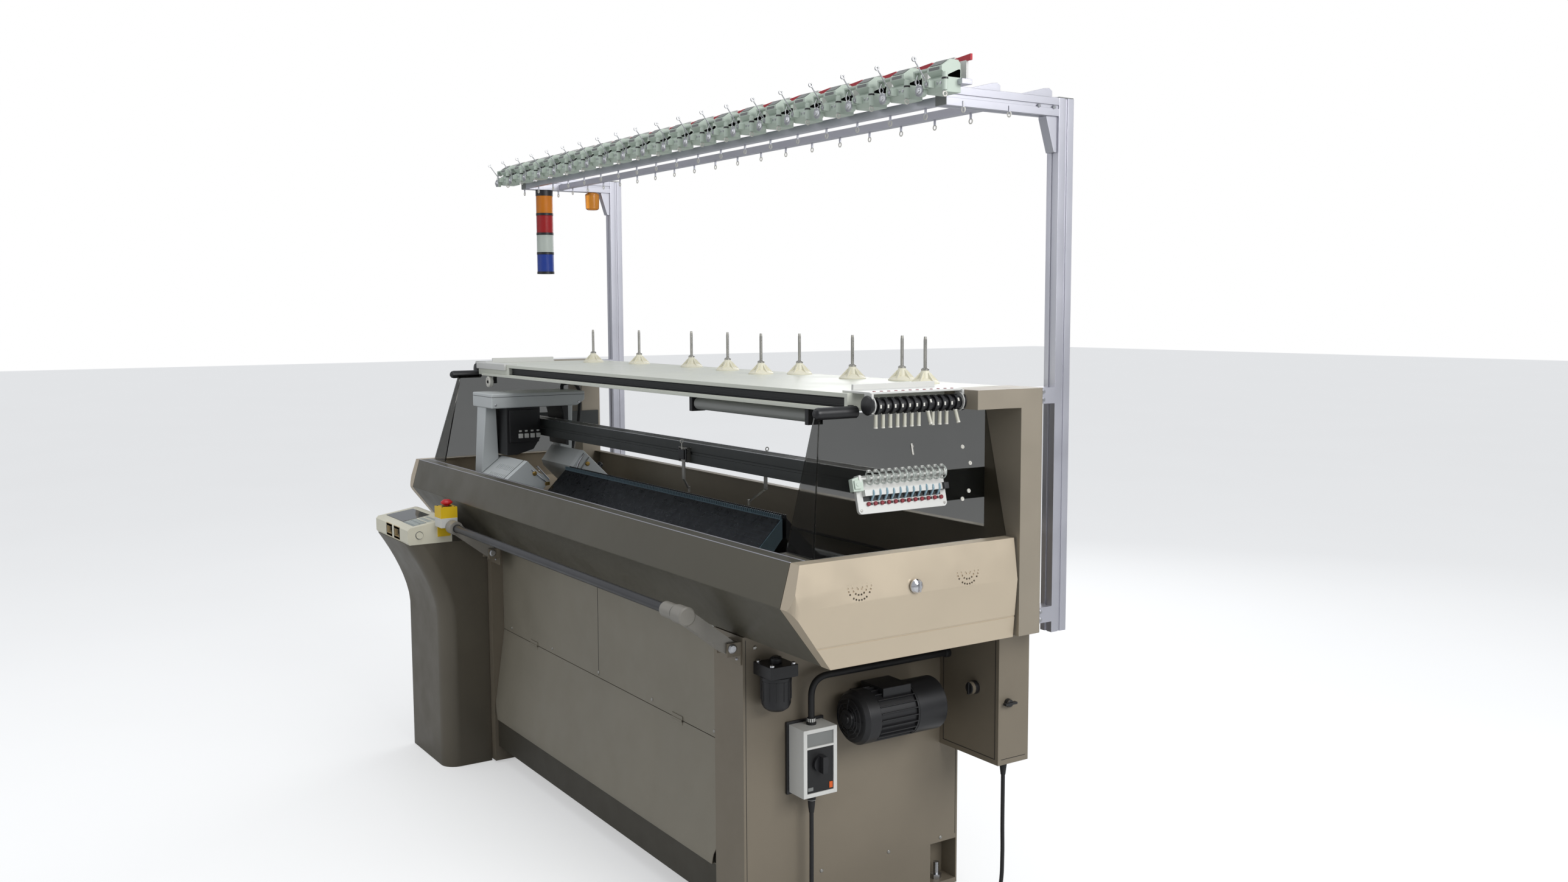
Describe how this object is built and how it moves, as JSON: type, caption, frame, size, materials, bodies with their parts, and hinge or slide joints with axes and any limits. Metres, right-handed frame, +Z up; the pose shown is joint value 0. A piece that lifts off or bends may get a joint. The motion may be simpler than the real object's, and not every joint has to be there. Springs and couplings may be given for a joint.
{
  "type": "flat knitting machine",
  "caption": "Computerised flat knitting machine with two needle beds, a carriage, smoked end windows, a yarn table and an overhead yarn stand.",
  "frame": {"origin": "middle of the bounding box on the floor", "axes": "X along the machine, +X towards the end with the motor; -Y towards the operator; +Z up"},
  "size_m": [2.7, 1.036, 2.17],
  "materials": {
    "bronze_paint": "metallic satin",
    "gold_paint": "metallic satin",
    "grey_paint": "satin",
    "panel_paint": "satin",
    "column_paint": "satin",
    "cream_paint": "satin",
    "black_paint": "satin",
    "dark_paint": "satin",
    "carriage_paint": "satin",
    "blue_grey_paint": "satin",
    "steel": "ground",
    "chrome": "polished",
    "aluminium": "anodised",
    "ivory_plastic": "matte",
    "mint_plastic": "matte",
    "white_plastic": "gloss",
    "black_plastic": "matte",
    "yellow_plastic": "gloss",
    "red_plastic": "gloss",
    "lens_plastic": "clear coloured",
    "amber_plastic": "clear",
    "clear_plastic": "clear",
    "smoked_glass": "smoked",
    "rubber": "matte"
  },
  "bodies": {
    "machine": {"right_pedestal": "grey_paint", "left_pedestal": "grey_paint", "levelling_feet": "steel", "bed_frame": "grey_paint", "front_upper_panel": "panel_paint", "front_lower_panel": "panel_paint", "bottom_rail": "bronze_paint", "rear_panels": "grey_paint", "front_cover": "bronze_paint", "right_end_cover": "gold_paint", "left_end_cover": "gold_paint", "rear_cover": "grey_paint", "right_end_frame": "grey_paint", "left_end_frame": "grey_paint", "table": "cream_paint", "windows": "smoked_glass", "window_trims": "black_plastic", "stand_posts": "aluminium", "stand_arms": "aluminium", "stand_rails": "aluminium", "tension_units": "mint_plastic", "warning_strip": "red_plastic", "tower_frame": "black_plastic", "tower_lenses": "lens_plastic", "amber_cup": "amber_plastic", "guide_bars": "black_paint", "guide_strips": "white_plastic", "window_plate": "white_plastic", "front_needle_bed": "blue_grey_paint", "carriage_rails": "steel", "yarn_rail": "dark_paint", "control_column": "column_paint", "control_panel": "ivory_plastic", "estop_box": "yellow_plastic", "isolator_box": "white_plastic", "oil_tank": "black_plastic", "motor": "black_paint", "conduit": "rubber", "supply_cord": "rubber", "spindle_stands": "ivory_plastic", "bar_brackets": "grey_paint", "carriage_belt": "rubber"},
    "carriage": {"carriage_frame": "carriage_paint", "cam_boxes": "carriage_paint"},
    "rear_bed": {"rear_needle_bed": "dark_paint"},
    "drive_pulley_body": {"drive_pulley": "steel"},
    "idler_pulley_body": {"idler_pulley": "steel"},
    "front_roller": {"takedown_roller_front": "rubber"},
    "rear_roller": {"takedown_roller_rear": "rubber"},
    "bar": {"operating_bar": "dark_paint", "bar_arms": "carriage_paint"},
    "feeder_1": {"yarn_feeder_1": "steel"},
    "feeder_2": {"yarn_feeder_2": "steel"},
    "stop_button": {"estop_button": "red_plastic"},
    "side_button": {"panel_button": "black_plastic"},
    "isolator_switch": {"isolator_handle": "black_plastic"},
    "cover_lock": {"lock_knob": "chrome"},
    "guides": {"guide_tubes": "ivory_plastic"},
    "take_ups": {"window_levers": "clear_plastic"},
    "feelers": {"tension_levers": "steel"}
  },
  "joints": [
    {"name": "carriage_slide", "type": "slide", "parent": "machine", "child": "carriage", "axis": [1, 0, 0], "range_m": [-0.05, 1.75]},
    {"name": "drive_pulley_turn", "type": "hinge", "parent": "machine", "child": "drive_pulley_body", "pos_m": [-1.11, 0.334, 0.9], "axis": [0, 1, 0], "continuous": true},
    {"name": "idler_pulley_turn", "type": "hinge", "parent": "machine", "child": "idler_pulley_body", "pos_m": [1.11, 0.334, 0.9], "axis": [0, 1, 0], "continuous": true},
    {"name": "bed_racking", "type": "slide", "parent": "machine", "child": "rear_bed", "axis": [1, 0, 0], "range_m": [-0.05, 0.05]},
    {"name": "front_roller_turn", "type": "hinge", "parent": "machine", "child": "front_roller", "pos_m": [0, 0.005, 0.75], "axis": [1, 0, 0], "continuous": true},
    {"name": "rear_roller_turn", "type": "hinge", "parent": "machine", "child": "rear_roller", "pos_m": [0, 0.055, 0.75], "axis": [1, 0, 0], "continuous": true},
    {"name": "bar_tilt", "type": "hinge", "parent": "machine", "child": "bar", "pos_m": [0.881, -0.262, 0.775], "axis": [1, 0, 0], "range_deg": [-6, 6]},
    {"name": "feeder_1_slide", "type": "slide", "parent": "machine", "child": "feeder_1", "axis": [1, 0, 0], "range_m": [-1, 0.8]},
    {"name": "feeder_2_slide", "type": "slide", "parent": "machine", "child": "feeder_2", "axis": [1, 0, 0], "range_m": [-1.2, 0.5]},
    {"name": "stop_press", "type": "slide", "parent": "machine", "child": "stop_button", "axis": [0, 0, -1], "range_m": [0, 0.004]},
    {"name": "side_button_press", "type": "slide", "parent": "machine", "child": "side_button", "axis": [-1, 0, 0], "range_m": [0, 0.002]},
    {"name": "isolator_turn", "type": "hinge", "parent": "machine", "child": "isolator_switch", "pos_m": [0.99, -0.055, 0.47], "axis": [1, 0, 0], "range_deg": [0, 90]},
    {"name": "lock_turn", "type": "hinge", "parent": "machine", "child": "cover_lock", "pos_m": [1.31, -0.01, 0.971], "axis": [1, 0, 0], "range_deg": [0, 90]},
    {"name": "guide_swing", "type": "hinge", "parent": "machine", "child": "guides", "pos_m": [1.24, 0.042, 1.3825], "axis": [0, 1, 0], "range_deg": [-35, 40]},
    {"name": "take_up_swing", "type": "hinge", "parent": "machine", "child": "take_ups", "pos_m": [1.23887, 0.02, 1.21798], "axis": [0, 1, 0], "range_deg": [-5, 40]},
    {"name": "feeler_swing", "type": "hinge", "parent": "machine", "child": "feelers", "pos_m": [0, 0.028, 2.102], "axis": [1, 0, 0], "range_deg": [-25, 35]}
  ],
  "couplings": [
    {"joint": "drive_pulley_turn", "follows": "carriage_slide", "rad_per_m": 28.571},
    {"joint": "idler_pulley_turn", "follows": "carriage_slide", "rad_per_m": 28.571},
    {"joint": "rear_roller_turn", "follows": "front_roller_turn", "ratio": -1}
  ]
}
